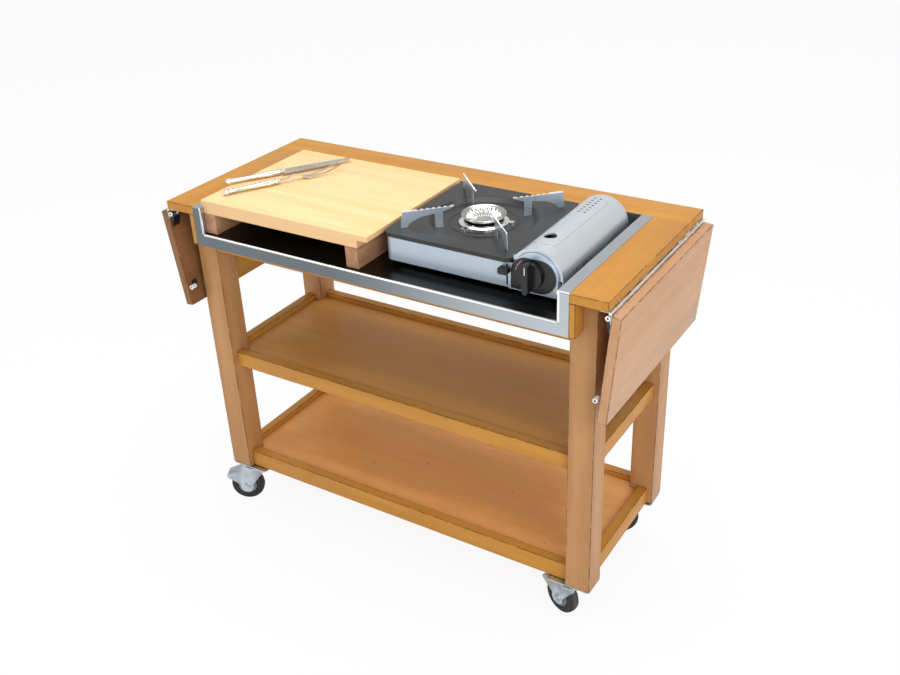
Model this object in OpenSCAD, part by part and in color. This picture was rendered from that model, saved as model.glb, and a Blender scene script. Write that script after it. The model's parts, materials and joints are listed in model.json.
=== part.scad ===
// Gueridon: a beech serving trolley with two drop flaps, a recessed steel well,
// two railed shelves and four swivel casters, laid with a cutting board,
// a carving knife and fork, and a portable gas stove.
// Millimetres. X runs left to right, Y from the open front to the back, Z up.
// The origin lies on the floor, below the middle of the trolley.

/* [Trolley] */
// Length of the wooden top between the flaps
top_l = 945; // [800:5:1200]
// Depth of the wooden top, front to back
top_d = 421; // [380:1:520]
// Thickness of the top boards and of the flaps
top_t = 17.5; // [15:0.5:25]
// Height of the top surface above the floor
stand_h = 738; // [680:1:860]
// Width of the top boards left and right of the well
side_w = 68.5; // [55:0.5:90]
// Width of the top board behind the well
back_w = 73; // [55:0.5:100]
// Side of the square legs
leg_w = 50; // [40:1:60]
// How far the legs stand in from the ends of the top
leg_in_x = 31.5; // [25:0.5:45]
// How far the legs stand in from the front and back of the top
leg_in_y = 33; // [20:0.5:45]
// Height of the end aprons below the top
apron_h = 174; // [80:1:200]
// Thickness of the aprons
apron_t = 20; // [16:1:25]

/* [Shelves] */
// Distance from the top surface down to the upper shelf rails
shelf_hi_drop = 344; // [280:1:400]
// Height of the upper shelf rails
rail_hi_h = 33; // [25:1:45]
// Height of the lower shelf rails
rail_lo_h = 38; // [25:1:45]
// Thickness of the shelf rails
rail_t = 20; // [15:1:25]
// How far the rails stand back from the leg faces
rail_in = 11; // [5:1:20]
// Height of the rail edge above the shelf panel
lip_h = 11.5; // [5:0.5:20]
// Thickness of the shelf panels
panel_t = 12; // [9:1:18]

/* [Well] */
// Depth of the steel well below the top
well_h = 55.5; // [40:0.5:80]
// Sheet thickness of the well
sheet_t = 1.2; // [1:0.1:2]
// Width of the steel rims beside the well
rim_w = 12; // [10:1:25]
// Outer radius of the folded steel edges
bend_r = 3; // [2:0.5:6]
// Height of the turned-down steel front edge
drop_h = 24.5; // [15:0.5:35]
// Distance from the top surface down to the lower edge of the front rail
front_rail_drop = 105; // [90:1:120]

/* [Flaps] */
// Length of a flap from hinge edge to free edge
flap_len = 205; // [150:1:300]
// Width of a flap along the hinge
flap_w = 418; // [350:1:421]
// Angle by which the hanging right flap leans in
lean_right = 5.3; // [0:0.1:8]
// Angle by which the hanging left flap leans in
lean_left = 7.3; // [0:0.1:8]
// Radius of the hinge barrel
barrel_r = 2.75; // [2:0.05:4]
// Hinge axis beyond the end of the top
pin_out = 2; // [1:0.5:4]
// Gap between hinge axis and flap edge
pin_edge = 3.25; // [3:0.05:6]
// Number of hinge knuckles, an odd number
knuckles = 19; // [9:2:31]
// Width of a hinge leaf
leaf_w = 18; // [12:1:25]

/* [Casters] */
// Diameter of the wheels
wheel_d = 75; // [50:1:100]
// Width of the tread
wheel_w = 24; // [18:1:32]
// Overall height of a caster
caster_h = 100; // [80:1:125]
// Distance from the swivel axis to the axle
trail = 28; // [15:1:35]
// Length of the caster plate along the trolley
cplate_l = 90; // [60:1:100]
// Width of the caster plate
cplate_w = 54; // [46:1:70]
// Swivel angle of the front left caster
turn_fl = 28; // [-180:1:180]
// Swivel angle of the front right caster
turn_fr = -21; // [-180:1:180]
// Swivel angle of the rear left caster
turn_rl = 24; // [-180:1:180]
// Swivel angle of the rear right caster
turn_rr = 30; // [-180:1:180]

/* [Cutting board] */
// Width of the board, left to right
board_w = 395; // [300:1:400]
// Depth of the board, front to back
board_d = 320.5; // [250:0.5:330]
// Thickness of the board above the trolley top
board_up = 12.5; // [8:0.5:20]
// Thickness of the board below the trolley top
board_dn = 14.2; // [10:0.1:25]
// Gap between the board and the left wall of the well
board_gap = 0.8; // [0.5:0.1:8]
// Front edge of the board from the trolley middle
board_y = -199; // [-205:0.5:-180]
// Width of the right lip that overhangs the runner
board_lip = 23; // [10:1:40]
// Thickness of that lip
lip_t = 11.6; // [8:0.1:12.4]
// Width of each runner
runner_w = 27.5; // [20:0.5:40]

/* [Stove] */
// Left edge of the stove plate from the trolley middle
stove_x = 13.5; // [5:1:40]
// Front edge of the stove plate from the trolley middle
stove_y = -163; // [-190:1:-140]
// Width of the enamelled plate
plate_l = 259; // [220:0.5:300]
// Depth of the enamelled plate
plate_d = 274; // [240:1:300]
// Height of the stove body above the well floor
foot_h = 13.5; // [10:0.5:20]
// Height of the plate above the underside of the body
plate_h = 53.5; // [46:0.5:60]
// Outer radius of the cartridge cover
cover_r = 49.5; // [42:0.5:55]
// Height of the pan supports above the underside of the body
pan_h = 85; // [80:1:95]
// Outer radius of the pan supports
pan_r = 150; // [130:1:151]
// Radius of the control knob
knob_r = 25; // [18:1:30]
// Clearance of a shaft in its hole
fit = 0.08; // [0.02:0.01:0.1]

/* [Hidden] */
$fn = 64;
eps = 0.01;
hx = top_l / 2;
hy = top_d / 2;
zt = stand_h;
zu = zt - top_t;
zf = zt - well_h;
leg_x = hx - leg_in_x - leg_w / 2;
leg_y = hy - leg_in_y - leg_w / 2;
leg_ix = leg_x - leg_w / 2;
leg_iy = leg_y - leg_w / 2;
leg_ox = leg_x + leg_w / 2;
leg_oy = leg_y + leg_w / 2;
well_x = hx - side_w;
well_y = hy - back_w;
wall_x = well_x - rim_w;
z_hi = zt - shelf_hi_drop;
z_lo = caster_h + rail_lo_h + 1;
pin_x = hx + pin_out;
pin_z = zu - barrel_r;
wr = wheel_d / 2;
fork_in = wheel_w / 2 + 1.5;
fork_t = 2;
kingpin_r = 5;
axle_r = 5;
// stove frame
base_z = zf + foot_h;
bx = stove_x + plate_l / 2;
by = stove_y + plate_d / 2;
cov_x = stove_x + 304.5;
cov_z = base_z + 30;
cov_in = cover_r - 1.3;
bezel_r = cover_r - 6.5;
hinge_dz = 24;
hinge_z = cov_z + hinge_dz;
hinge_x = cov_x - sqrt(cover_r * cover_r - hinge_dz * hinge_dz);
body_y0 = stove_y + 3;
body_y1 = stove_y + plate_d - 3;
cov_y0 = stove_y + 6;
cov_y1 = stove_y + plate_d + 11;
bay_y1 = cov_y1 - 4;
body_x0 = stove_x + 2;
body_x1 = cov_x + 43;
part_x = hinge_x + 2.5;
knob_x = stove_x + 297.5;
knob_z = base_z + 34.5;
slot_x = stove_x + 250.9;
can_z = base_z + 35.3;
wall_top = base_z + plate_h - 1.8;
lug_y0 = cov_y0 + 6;
lug_y1 = cov_y1 - 24;

module box(x0, x1, y0, y1, z0, z1) {
  translate([x0, y0, z0])
    cube([x1 - x0, y1 - y0, z1 - z0]);
}

module rbox(x0, x1, y0, y1, z0, z1, r) {
  translate([0, 0, z0])
    linear_extrude(z1 - z0)
      rrect(x0, x1, y0, y1, r);
}

module rrect(x0, x1, y0, y1, r) {
  union() {
    translate([x0 + r, y0])
      square([x1 - x0 - 2 * r, y1 - y0]);
    translate([x0, y0 + r])
      square([x1 - x0, y1 - y0 - 2 * r]);
    for (x = [x0 + r, x1 - r])
      for (y = [y0 + r, y1 - r])
        translate([x, y])
          circle(r);
  }
}

// a cylinder lying along Y
module ycyl(x, z, r, y0, y1) {
  translate([x, y1, z])
    rotate([90, 0, 0])
      cylinder(r = r, h = y1 - y0);
}

// a plate drawn in X and Z, extruded along Y from y0 to y1
module yplate(y0, y1) {
  translate([0, y1, 0])
    rotate([90, 0, 0])
      linear_extrude(y1 - y0)
        children();
}

// Wooden frame

module top_side(s) {
  color("burlywood")
    if (s > 0)
      box(well_x, hx, -hy, well_y, zu, zt);
    else
      box(-hx, -well_x, -hy, well_y, zu, zt);
}

module top_back() {
  color("burlywood")
    box(-hx, hx, well_y, hy, zu, zt);
}

module leg(sx, sy) {
  color("peru")
    difference() {
      translate([sx * leg_x - leg_w / 2, sy * leg_y - leg_w / 2, caster_h])
        cube([leg_w, leg_w, zu - caster_h]);
      // shallow notch that the well drops into
      box(-wall_x - sheet_t - 0.3, wall_x + sheet_t + 0.3, -hy, well_y, zf - sheet_t, zt);
    }
}

module end_apron(s) {
  color("peru")
    translate([s * (leg_ix + 5 + apron_t / 2) - apron_t / 2, -leg_iy, zu - apron_h])
      cube([apron_t, 2 * leg_iy, apron_h]);
}

module rear_apron() {
  color("peru")
    box(-leg_ix, leg_ix, well_y, well_y + apron_t, zu - 80, zu);
}

module front_rail() {
  color("peru")
    box(-leg_ix, leg_ix, -leg_oy, -leg_oy + apron_t, zt - front_rail_drop, zf - sheet_t);
}

// blocks that close the ends of the well in front of the legs
module well_cheeks() {
  color("peru")
    for (s = [0, 1])
      mirror([s, 0, 0])
        box(well_x, well_x + 11.5, -hy, -leg_oy, zf - drop_h, zu);
}

// Steel well: floor, walls, flat side rims and a folded front frame

// one folded edge as seen along the fold: the flat runs to +X, the flange hangs down
module fold(flat, hang) {
  union() {
    translate([bend_r, -sheet_t])
      square([flat - bend_r, sheet_t]);
    translate([0, -hang])
      square([sheet_t, hang - bend_r]);
    translate([bend_r, -bend_r])
      difference() {
        intersection() {
          circle(bend_r, $fn = 48);
          translate([-bend_r, 0])
            square([bend_r, bend_r]);
        }
        circle(bend_r - sheet_t, $fn = 48);
      }
  }
}

// a fold swept along X from x0 to x1, with its top at height z
module fold_x(x0, x1, z, flat, hang) {
  translate([x0, -hy, z])
    rotate([90, 0, 90])
      linear_extrude(x1 - x0)
        fold(flat, hang);
}

module steel_well() {
  color("silver")
    union() {
      // floor and lower front flange
      fold_x(-wall_x - bend_r, wall_x + bend_r, zf, 2 * bend_r, drop_h);
      box(-wall_x - sheet_t, wall_x + sheet_t, -hy + bend_r, well_y, zf - sheet_t, zf);
      // back wall
      box(-wall_x - sheet_t, wall_x + sheet_t, well_y - sheet_t, well_y, zf - sheet_t, zt);
      for (s = [0, 1])
        mirror([s, 0, 0]) {
          // side wall folded into the upright strip
          translate([wall_x, -hy, zf - bend_r])
            linear_extrude(zt - zf)
              mirror([1, -1, 0])
                mirror([0, 1, 0])
                  fold(2 * bend_r, rim_w);
          box(wall_x, wall_x + sheet_t, -hy + bend_r, well_y, zf - sheet_t, zt);
          // rim on top and its fold at the front
          box(wall_x, well_x, -hy + bend_r, well_y, zt - sheet_t, zt);
          fold_x(wall_x, well_x, zt, 2 * bend_r, 2 * bend_r);
          box(wall_x + bend_r, well_x, -hy, -hy + sheet_t, zf - drop_h, zt - bend_r);
        }
    }
}

// Shelves

module shelf_panel(z) {
  x = leg_ox - rail_in - rail_t;
  y = leg_oy - rail_in - rail_t;
  color("tan")
    difference() {
      box(-x, x, -y, y, z - lip_h - panel_t, z - lip_h);
      for (sx = [-1, 1])
        for (sy = [-1, 1])
          translate([sx * leg_x - leg_w / 2, sy * leg_y - leg_w / 2, z - 100])
            cube([leg_w, leg_w, 200]);
    }
}

module rail_long(s, z, h) {
  y = leg_oy - rail_in - rail_t / 2;
  color("peru")
    translate([-leg_ix, s * y - rail_t / 2, z - h])
      cube([2 * leg_ix, rail_t, h]);
}

module rails_end(z, h) {
  x = leg_ox - rail_in - rail_t / 2;
  color("peru")
    for (s = [-1, 1])
      translate([s * x - rail_t / 2, -leg_iy, z - h])
        cube([rail_t, 2 * leg_iy, h]);
}

// Flaps: everything below is drawn on the right, about the hinge axis

module at_pin(s, lean) {
  mirror([s < 0 ? 1 : 0, 0, 0])
    translate([pin_x, 0, pin_z])
      rotate([0, lean, 0])
        children();
}

k_len = flap_w / knuckles;
k_gap = 0.35;

// knuckles of one hinge leaf, first = 0 or 1, with a bore for the pin
module knuckle_row(first, bore) {
  for (i = [first : 2 : knuckles - 1])
    difference() {
      ycyl(0, 0, barrel_r, -flap_w / 2 + i * k_len + k_gap / 2, -flap_w / 2 + (i + 1) * k_len - k_gap / 2);
      if (bore > 0)
        ycyl(0, 0, bore, -flap_w / 2 + i * k_len - 1, -flap_w / 2 + (i + 1) * k_len + 1);
    }
}

pin_r = 1.2;

// leaf below the top boards, with the hinge pin
module hinge_leaf(s) {
  color("silver")
    at_pin(s, 0)
      union() {
        difference() {
          box(-leaf_w, 0, -flap_w / 2, flap_w / 2, barrel_r - 1, barrel_r);
          for (i = [1 : 2 : knuckles - 1])
            translate([-barrel_r - 0.4, -flap_w / 2 + i * k_len - k_gap / 2, 0])
              cube([10, k_len + k_gap, 5]);
        }
        knuckle_row(0, 0);
        ycyl(0, 0, pin_r, -flap_w / 2 + 1, flap_w / 2 - 1);
      }
}

// leaf on the inner face of the flap
module flap_leaf(s, lean) {
  color("silver")
    at_pin(s, lean)
      union() {
        difference() {
          box(barrel_r - 1, barrel_r, -flap_w / 2, flap_w / 2, -leaf_w, 0);
          for (i = [0 : 2 : knuckles - 1])
            translate([0, -flap_w / 2 + i * k_len - k_gap / 2, -barrel_r - 0.4])
              cube([5, k_len + k_gap, 10]);
        }
        knuckle_row(1, pin_r + fit);
      }
}

module flap(s, lean) {
  color("burlywood")
    at_pin(s, lean)
      box(barrel_r, barrel_r + top_t, -flap_w / 2, flap_w / 2, -pin_edge - flap_len, -pin_edge);
}

roller_r = 4.5;
roller_x = -3.2;
roller_z = -9.3;
buffer_x = -5.6;
buffer_z = -168;
spindle_r = 1.75;

// black brackets at both ends of the flap: an eared knuckle by the hinge and a buffer arm lower down
module flap_bracket(s, lean) {
  color("dimgray")
    at_pin(s, lean)
      for (m = [0, 1])
        mirror([0, m, 0]) {
          for (y = [-206, -190])
            yplate(y, y + 2)
              polygon([[-7.4, -5], [-5, -4.2], [1.3, -4.2], [barrel_r - 1, -6], [barrel_r - 1, -leaf_w - 0.2],
                       [barrel_r, -leaf_w - 0.2], [barrel_r, -36], [0, -36], [-7.4, -15]]);
          box(barrel_r - 2, barrel_r, -206, -188, -36, -leaf_w - 0.2);
          ycyl(roller_x, roller_z, spindle_r, -209.3, -187);
          for (y = [-200.5, -193.5])
            translate([barrel_r - 2, y, -27])
              rotate([0, -90, 0])
                cylinder(r = 2.4, h = 1.2);
          yplate(-196, -194)
            polygon([[buffer_x - 3.4, buffer_z - 3], [buffer_x - 3.4, buffer_z + 3],
                     [buffer_x, buffer_z + 4.4], [barrel_r, buffer_z + 10],
                     [barrel_r, buffer_z - 10], [buffer_x, buffer_z - 4.4]]);
          box(barrel_r - 1.5, barrel_r, -196, -184, buffer_z - 10, buffer_z + 10);
          ycyl(buffer_x, buffer_z, spindle_r, -208.8, -193);
        }
}

// white nylon rollers on the bracket spindles
module flap_rollers(s, lean) {
  color("white")
    at_pin(s, lean)
      for (m = [0, 1])
        mirror([0, m, 0]) {
          roller(roller_x, roller_z, -209, -206.1);
          roller(roller_x, roller_z, -193.2, -190.1);
          roller(buffer_x, buffer_z, -208.4, -196.1);
        }
}

module roller(x, z, y0, y1) {
  difference() {
    ycyl(x, z, roller_r, y0, y1);
    ycyl(x, z, spindle_r + fit, y0 - 1, y1 + 1);
  }
}

// Casters

cast_x = leg_ox - cplate_l / 2;
cast_y = leg_oy - cplate_w / 2;
head_z = caster_h - 2.5;
crown_z = caster_h - 9;
screw_x = cplate_l / 2 - 9;
screw_y = cplate_w / 2 - 9;

module each_caster() {
  for (sx = [-1, 1])
    for (sy = [-1, 1])
      translate([sx * cast_x, sy * cast_y, 0])
        children();
}

// fixed plates with the upper race and the swivel rivet
module caster_plates() {
  color("gainsboro")
    each_caster()
      difference() {
        union() {
          rbox(-cplate_l / 2, cplate_l / 2, -cplate_w / 2, cplate_w / 2, head_z, caster_h, 6);
          translate([0, 0, crown_z + 3])
            cylinder(r1 = 19, r2 = 23, h = head_z - crown_z - 3 + eps);
          translate([0, 0, crown_z - 5])
            cylinder(r = kingpin_r, h = 12);
          translate([0, 0, crown_z - 8])
            cylinder(r1 = 7, r2 = 9, h = 4.6);
        }
        for (x = [-1, 1])
          for (y = [-1, 1])
            translate([x * screw_x, y * screw_y, head_z - 1])
              cylinder(r = 2.6, h = 5);
      }
}

// pan-head wood screws that hold the plates
module caster_screws() {
  color("gainsboro")
    each_caster()
      for (x = [-1, 1])
        for (y = [-1, 1])
          translate([x * screw_x, y * screw_y, 0])
            union() {
              translate([0, 0, head_z - 2.2])
                difference() {
                  cylinder(r1 = 3.4, r2 = 4.4, h = 2.2);
                  translate([-0.5, -3, -1])
                    cube([1, 6, 2]);
                  translate([-3, -0.5, -1])
                    cube([6, 1, 2]);
                }
              translate([0, 0, head_z - eps])
                cylinder(r = 2.5, h = 2.5 + eps);
            }
}

module at_caster(sx, sy, turn) {
  translate([sx * cast_x, sy * cast_y, 0])
    rotate([0, 0, turn])
      children();
}

// pressed fork with its axle bolt; the axle trails towards local -X
module caster_fork(sx, sy, turn) {
  w = fork_in + fork_t;
  color("lightsteelblue")
    at_caster(sx, sy, turn)
      difference() {
        union() {
          // crown with the lower race
          translate([0, 0, crown_z])
            rotate_extrude($fn = 96)
              polygon([[0, -2.6], [24, -2.6], [27, 0], [27, 2.6], [0, 2.6]]);
          // roof that slopes down over the wheel
          yplate(-w, w)
            polygon([[-trail - 43, wr + 29], [-trail - 10, wr + 43], [-trail + 2, crown_z], [18, crown_z],
                     [18, crown_z - 2.2], [-trail + 3, crown_z - 2.2], [-trail - 9, wr + 41],
                     [-trail - 42.4, wr + 27]]);
          for (s = [-1, 1])
            translate([0, s * (fork_in + fork_t / 2), 0])
              yplate(-fork_t / 2, fork_t / 2)
                union() {
                  polygon([[-trail + 2, crown_z], [19, crown_z], [18, crown_z - 10], [-trail + 37, wr + 34],
                           [-trail + 14.4, wr + 4], [-trail - 14.4, wr + 4], [-trail - 22, wr + 11],
                           [-trail - 43, wr + 25], [-trail - 43, wr + 29], [-trail - 10, wr + 43]]);
                  translate([-trail, wr])
                    circle(15);
                }
          // axle with a flanged head and a lock nut
          ycyl(-trail, wr, axle_r, -w - 1, w + 1);
          ycyl(-trail, wr, 8.5, -w - 1.4, -w);
          ycyl(-trail, wr, 8.5, w, w + 1.4);
          translate([-trail, -w - 1, wr])
            rotate([90, 0, 0])
              cylinder(r = 6.6, h = 4.6, $fn = 6);
          translate([-trail, w + 6, wr])
            rotate([90, 0, 0])
              cylinder(r = 6.6, h = 5, $fn = 6);
        }
        translate([0, 0, crown_z - 10])
          cylinder(r = kingpin_r + fit, h = 20);
        translate([0, 0, crown_z - 12])
          cylinder(r = 12, h = 9.2);
      }
}

// rubber tyre on a plastic core with plain side discs
module caster_wheel(sx, sy, turn) {
  h = wheel_w / 2;
  color("dimgray")
    at_caster(sx, sy, turn)
      translate([-trail, 0, wr])
        rotate([90, 0, 0])
          rotate_extrude($fn = 96)
            polygon([[axle_r + fit, -fork_in + 0.35], [9, -fork_in + 0.35], [9.8, -h + 3], [18.6, -h + 3.6],
                     [20.4, -h + 1.6], [21.4, -h + 1.6], [22.4, -h + 2.6], [24.5, -h + 0.8], [29, -h + 0.3],
                     [33, -h + 1.2], [35.6, -h + 3.2], [37, -h + 6.6], [wr, -h + 10], [wr, h - 10],
                     [37, h - 6.6], [35.6, h - 3.2], [33, h - 1.2], [29, h - 0.3], [24.5, h - 0.8],
                     [22.4, h - 2.6], [21.4, h - 1.6], [20.4, h - 1.6], [18.6, h - 3.6], [9.8, h - 3],
                     [9, fork_in - 0.35], [axle_r + fit, fork_in - 0.35]]);
}

// Cutting board and cutlery

bz = zt + board_up;
board_x = -wall_x + board_gap;
core_x1 = board_x + board_w - board_lip;

module cutting_board() {
  color("wheat")
    union() {
      box(board_x, board_x + board_w, board_y, board_y + board_d, bz - lip_t, bz);
      box(board_x, core_x1, board_y, board_y + board_d, zt - board_dn, bz - lip_t);
    }
}

module board_runners() {
  color("burlywood")
    for (x = [board_x + 5, core_x1 - runner_w])
      box(x, x + runner_w, board_y, board_y + board_d, zf, zt - board_dn);
}

knife_pos = [-398.8, -118, 0];
knife_turn = 57;
fork_pos = [-363.3, -165.5, 0];
fork_turn = 60.5;
handle_r = 7.4;

module at_knife() {
  translate([knife_pos[0], knife_pos[1], bz + handle_r + 0.3])
    rotate([0, 0.2, knife_turn])
      children();
}

module at_fork() {
  translate([fork_pos[0], fork_pos[1], bz + handle_r + 0.3])
    rotate([0, 0.2, fork_turn])
      children();
}

// hollow silver handle turned with a pommel, a swelling grip and beads
module silver_handle(len) {
  rotate([0, 90, 0])
    rotate_extrude($fn = 48)
      polygon([[0, 0], [3.2, 0.4], [5.4, 2], [6.6, 4.6], [6.4, 7.6], [5, 9.4], [5, 10.2], [7.2, 12.4],
               [7.4, 15], [6, 17.4], [5.6, 19], [5.9, 34], [6.6, 58], [7.2, 82], [7.3, 92], [6.9, 100],
               [5.6, 104], [5.6, 105], [6.8, 106.6], [7, 108.4], [6, 110.4], [5, 111.4], [5.4, 113],
               [5.4, len - 2], [4.4, len], [0, len]]);
}

knife_h = 118;
knife_len = 272;

module knife_handle() {
  color("silver")
    at_knife()
      silver_handle(knife_h);
}

// width of the blade on its edge side, curved up towards the point
function blade_edge(t) = -13 + 13.5 * pow(t, 6);

module knife_blade() {
  n = 18;
  l = knife_len - knife_h;
  color("lightgray")
    at_knife()
      translate([knife_h, 0, 0])
        union() {
          translate([0, 0, -1])
            linear_extrude(2)
              polygon(concat(
                [for (i = [0 : n]) [l * i / n, blade_edge(i / n)]],
                [[l, 2], [l * 0.55, 8], [6, 8], [0, 5]]));
          translate([-eps, 0, 0])
            rotate([0, 90, 0])
              cylinder(r1 = 4.4, r2 = 3, h = 6);
        }
}

fork_h = 121;
fork_len = 268;
head_s = 182;

// height of the fork above its handle axis, along its length: a hump, a dip and the upturned tines
function fork_rise(s) =
  s < 132 ? 0 :
  s < 149 ? 2.6 * (1 - cos(180 * (s - 132) / 17)) :
  s < head_s ? 5.2 - 5 * (1 - cos(180 * (s - 149) / (head_s - 149))) :
  -4.8 + 20 * pow((s - head_s) / (fork_len - head_s), 1.6);

// half width of the fork outline
function fork_half(s) =
  s < 160 ? 2.6 :
  s < head_s ? 2.6 + 4.2 * (1 - cos(180 * (s - 160) / (head_s - 160))) :
  11 - 2.6 * (s - head_s) / (fork_len - head_s);

module fork_handle() {
  color("silver")
    at_fork()
      silver_handle(fork_h);
}

module fork_tines() {
  n = 40;
  s0 = fork_h - 1;
  step = (fork_len - s0) / n;
  color("lightgray")
    at_fork()
      intersection() {
        translate([0, 20, 0])
          rotate([90, 0, 0])
            linear_extrude(40)
              polygon(concat(
                [for (i = [0 : n]) [s0 + i * step, fork_rise(s0 + i * step) + 1.5 - 0.7 * i / n]],
                [for (i = [n : -1 : 0]) [s0 + i * step, fork_rise(s0 + i * step) - 1.5 + 0.7 * i / n]]));
        translate([0, 0, -20])
          linear_extrude(60)
            difference() {
              polygon(concat(
                [for (i = [0 : n]) [s0 + i * step, fork_half(s0 + i * step)]],
                [for (i = [n : -1 : 0]) [s0 + i * step, -fork_half(s0 + i * step)]]));
              union() {
                polygon([[head_s + 7, -6.4], [fork_len + 1, -6.9], [fork_len + 1, 6.9], [head_s + 7, 6.4]]);
                translate([head_s + 7, 0])
                  circle(6.4);
              }
            }
      }
}

// Portable gas stove

module arch(x, z, r, x0, x1, z0) {
  union() {
    translate([x, z])
      circle(r, $fn = 96);
    translate([x0, z0])
      square([x1 - x0, z - z0]);
  }
}

module stove_body() {
  color("lightsteelblue")
    difference() {
      union() {
        difference() {
          union() {
            rbox(part_x - 40, body_x1, body_y0, bay_y1, base_z, base_z + 21.5, 12);
            rbox(body_x0, part_x + 1.5, body_y0, body_y1, base_z, base_z + 45.5, 12);
            // upper wall that carries the plate, inside its skirt
            rbox(body_x0, stove_x + 100, body_y0, body_y1, base_z + 20, wall_top, 12);
            box(stove_x + 60, stove_x + plate_l - 16, body_y0, body_y1, base_z + 20, wall_top);
          }
          // burner chamber
          rbox(body_x0 + 1.5, part_x, body_y0 + 1.5, body_y1 - 1.5, base_z + 1.5, base_z + 64, 10.5);
          // cartridge bay
          rbox(part_x + 1.5, body_x1 - 1.5, body_y0 + 1.5, bay_y1 - 1.5, base_z + 1.5, base_z + 64, 4);
        }
        // narrow bottom pan
        rbox(body_x0 + 14, body_x1 - 14, body_y0 + 14, body_y1 - 14, zf + 6, base_z + eps, 10);
        // front bezel around the dial
        yplate(stove_y, stove_y + 12)
          intersection() {
            arch(cov_x, cov_z, bezel_r, stove_x + 254.5, cov_x + bezel_r, base_z);
            translate([stove_x + 254.5, base_z])
              square([200, 200]);
          }
        // end wall of the bay behind the cartridge
        yplate(bay_y1 - 1.5, bay_y1)
          intersection() {
            translate([cov_x, cov_z])
              circle(cov_in - 14);
            translate([cov_x - 60, base_z + 14])
              square([120, 80]);
          }
        // ledge under the lower edge of the cover
        box(body_x1 - 1, cov_x + cover_r, body_y0 + 10, bay_y1 - 4, base_z + 15, base_z + 21.5);
        // lugs that carry the pivots of the cover
        for (y = [lug_y0, lug_y1])
          difference() {
            box(hinge_x - 3, part_x + 1.5, y, y + 3, base_z + 34, hinge_z + 3);
            ycyl(hinge_x, hinge_z, pin_r + fit, y - 1, y + 4);
          }
        // gas regulator block at the front of the bay
        box(cov_x - 16, cov_x + 16, body_y0 + 1, body_y0 + 22, base_z + 1, cov_z + 20);
        // two cradle ribs for the cartridge
        for (y = [-70, 30])
          difference() {
            box(part_x + 1, body_x1 - 1, y, y + 2, base_z + 1, base_z + 14);
            ycyl(cov_x, can_z, 33.2, y - 1, y + 3);
          }
      }
      // slot of the cartridge lever
      box(slot_x - 1.7, slot_x + 1.7, body_y0 - 1, body_y0 + 3, base_z + 4, base_z + 43);
      // shaft hole of the knob
      ycyl(knob_x, knob_z, 4 + fit, stove_y - 1, body_y0 + 12);
    }
}

module stove_feet() {
  color("dimgray")
    for (x = [body_x0 + 36, body_x1 - 36])
      for (y = [body_y0 + 32, body_y1 - 32])
        translate([x, y, zf])
          cylinder(r1 = 8, r2 = 9, h = 6);
}

dish_r = 100;

// enamelled plate with a skirt and a round dished middle
module stove_plate() {
  x1 = stove_x + plate_l;
  y1 = stove_y + plate_d;
  z = base_z + plate_h;
  color("dimgray")
    union() {
      difference() {
        rbox(stove_x, x1, stove_y, y1, z - 7.6, z, 15);
        rbox(stove_x + 1.5, x1 - 1.5, stove_y + 1.5, y1 - 1.5, z - 20, z - 1.5, 13.5);
        translate([bx, by, z - 20])
          cylinder(r = dish_r, h = 40, $fn = 128);
        // room for the two cover lugs
        for (y = [lug_y0, lug_y1])
          box(hinge_x - 3.6, x1 + 5, y - 0.8, y + 3.8, z - 20, z + 5);
      }
      translate([bx, by, z])
        rotate_extrude($fn = 128)
          polygon([[dish_r + 0.5, 0], [dish_r - 9, -8], [40, -8], [40, -9.5], [dish_r - 8.4, -9.5],
                   [dish_r + 0.5, -1.5]]);
      // low raised ring pressed into the dish
      translate([bx, by, z - 8])
        rotate_extrude($fn = 128)
          polygon([[60, -0.2], [62, 1.2], [64, 1.2], [66, -0.2]]);
    }
}

ring_z = base_z + plate_h - 8;

// chrome trim ring with three lugs, seated in the dish
module burner_ring() {
  color("silver")
    translate([bx, by, ring_z])
      union() {
        rotate_extrude($fn = 96)
          polygon([[36.5, 0], [46, 0], [46, 2.2], [42, 4.6], [38.4, 5.6], [36.5, 5.6]]);
        for (a = [-104, 16, 136])
          rotate([0, 0, a])
            translate([43, -5, 0])
              union() {
                cube([9, 10, 3]);
                translate([9, 5, 0])
                  cylinder(r = 5, h = 3);
              }
      }
}

// foot of the mixing tube on the floor of the burner chamber
stem_z = base_z + 1.5 - ring_z;

// burner: a mixing tube, a slotted ring of flame ports and a flared ribbed bowl
module burner_head() {
  color("silver")
    translate([bx, by, ring_z])
      difference() {
        rotate_extrude($fn = 96)
          polygon([[0, stem_z], [13, stem_z], [13, -6], [14, -4], [14, 4], [33, 6.2], [36, 8], [36.2, 12],
                   [34.6, 16.5], [33.2, 16.9], [31, 15.4], [20, 10], [10, 8.2], [0, 8]]);
        for (i = [0 : 35])
          rotate([0, 0, i * 10])
            translate([30.5, -0.7, 7.6])
              cube([8, 1.4, 3.2]);
        for (i = [0 : 23])
          rotate([0, 0, i * 15 + 7.5])
            translate([14, -0.8, 10])
              rotate([0, -24, 0])
                cube([17, 1.6, 3]);
      }
}

blade_t = 1.6;
blade_in = 55;

// height of the wavy top edge
function tooth(i) = i % 2 == 0 ? 0 : -2.8;

// four pressed steel pan supports set on the diagonals
module pan_supports() {
  z = base_z + plate_h;
  top = base_z + pan_h;
  n = 12;
  color("gray")
    for (a = [45, 135, 225, 315])
      translate([bx, by, 0])
        rotate([0, 0, a])
          yplate(-blade_t / 2, blade_t / 2)
            polygon(concat(
              [[pan_r + 4, z], [pan_r, top]],
              [for (i = [0 : n]) [pan_r - 25 - i * 5.4, top + tooth(i)]],
              [[blade_in + 1, top], [blade_in, top - 2], [blade_in + 3, top - 5], [76, top - 10],
               [76, z - 8], [90, z - 8], [91, top - 12], [pan_r - 34, top - 15], [pan_r - 14, z + 8],
               [pan_r - 8, z]]));
}

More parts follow.
